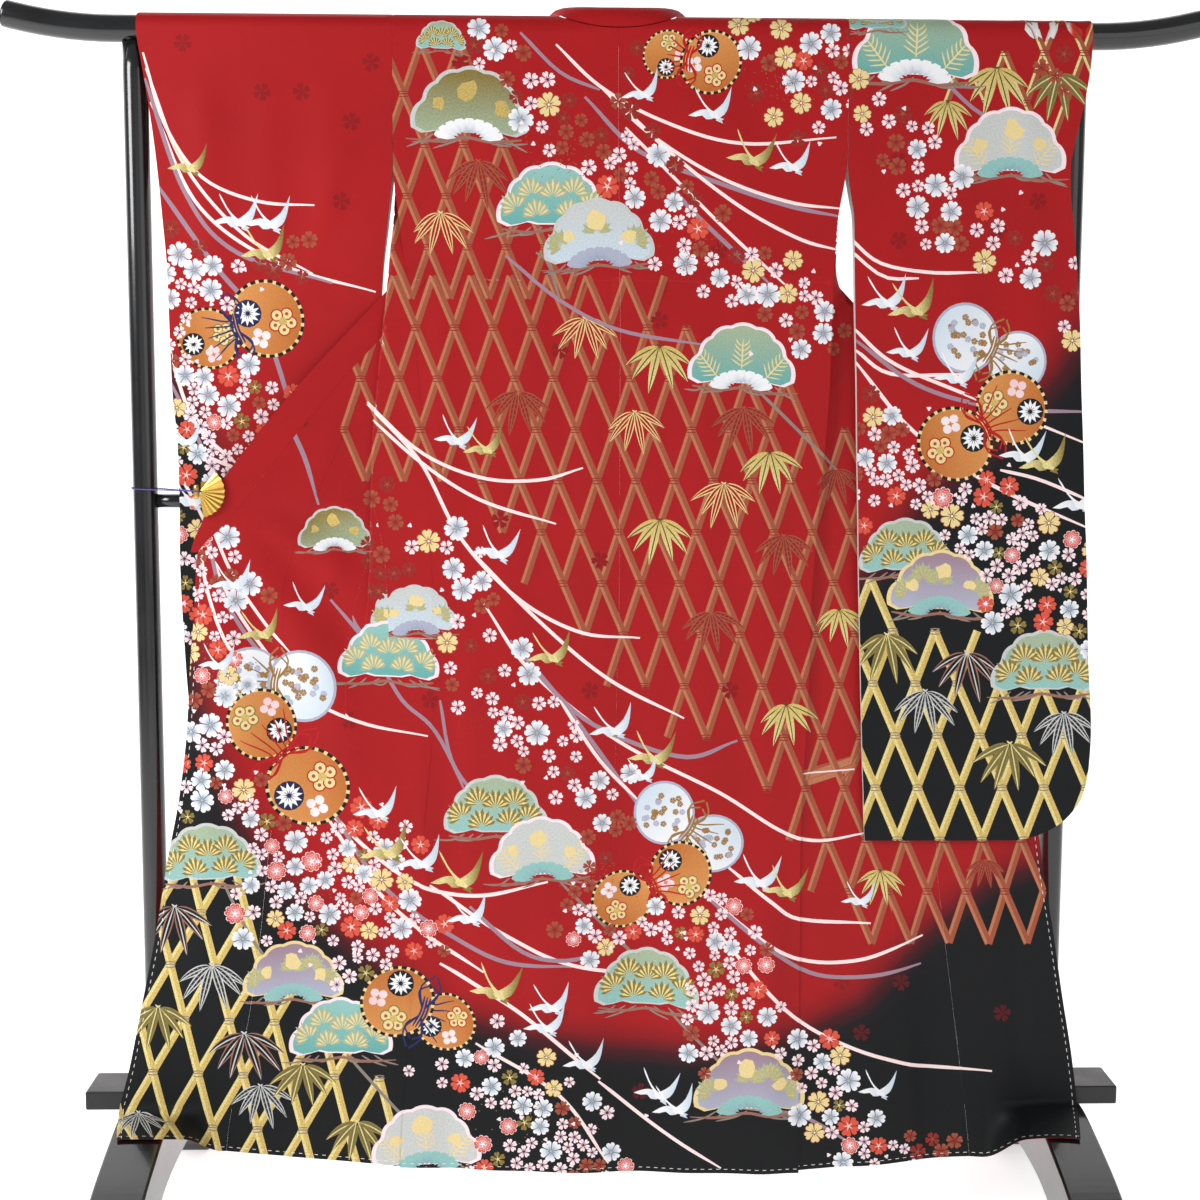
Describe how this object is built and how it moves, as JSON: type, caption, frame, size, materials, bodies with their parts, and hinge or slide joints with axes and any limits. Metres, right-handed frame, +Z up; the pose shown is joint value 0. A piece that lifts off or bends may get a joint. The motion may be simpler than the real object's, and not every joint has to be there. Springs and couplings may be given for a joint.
{
  "type": "furisode kimono on kimono stand",
  "caption": "Long-sleeved formal kimono hung by its shoulders over the top pole of a black lacquered stand, one front drawn out and held by a fan clip.",
  "frame": {"origin": "floor level, midway between the feet: the bottom centre of the whole part's bounding box", "axes": "+Z up, +X to the right along the top pole seen from the kimono's back, +Y away from that viewer; the outside of the back faces -Y"},
  "size_m": [1.698, 0.7, 1.7727],
  "materials": {
    "cloth": "silk crepe with a lined inside",
    "lacquer": "black gloss lacquer",
    "gold": "polished",
    "thread": "twisted thread"
  },
  "bodies": {
    "root": {"body_left": "cloth", "body_right": "cloth", "okumi_left": "cloth", "okumi_right": "cloth", "sleeve_left": "cloth", "sleeve_right": "cloth", "collar": "cloth", "pole": "lacquer", "upright_left": "lacquer", "upright_right": "lacquer", "rail": "lacquer", "beam": "lacquer", "foot_left": "lacquer", "foot_right": "lacquer", "clip_fan": "gold", "clip_bead": "gold", "clip_jaw": "gold", "clip_thread": "thread"}
  },
  "joints": []
}
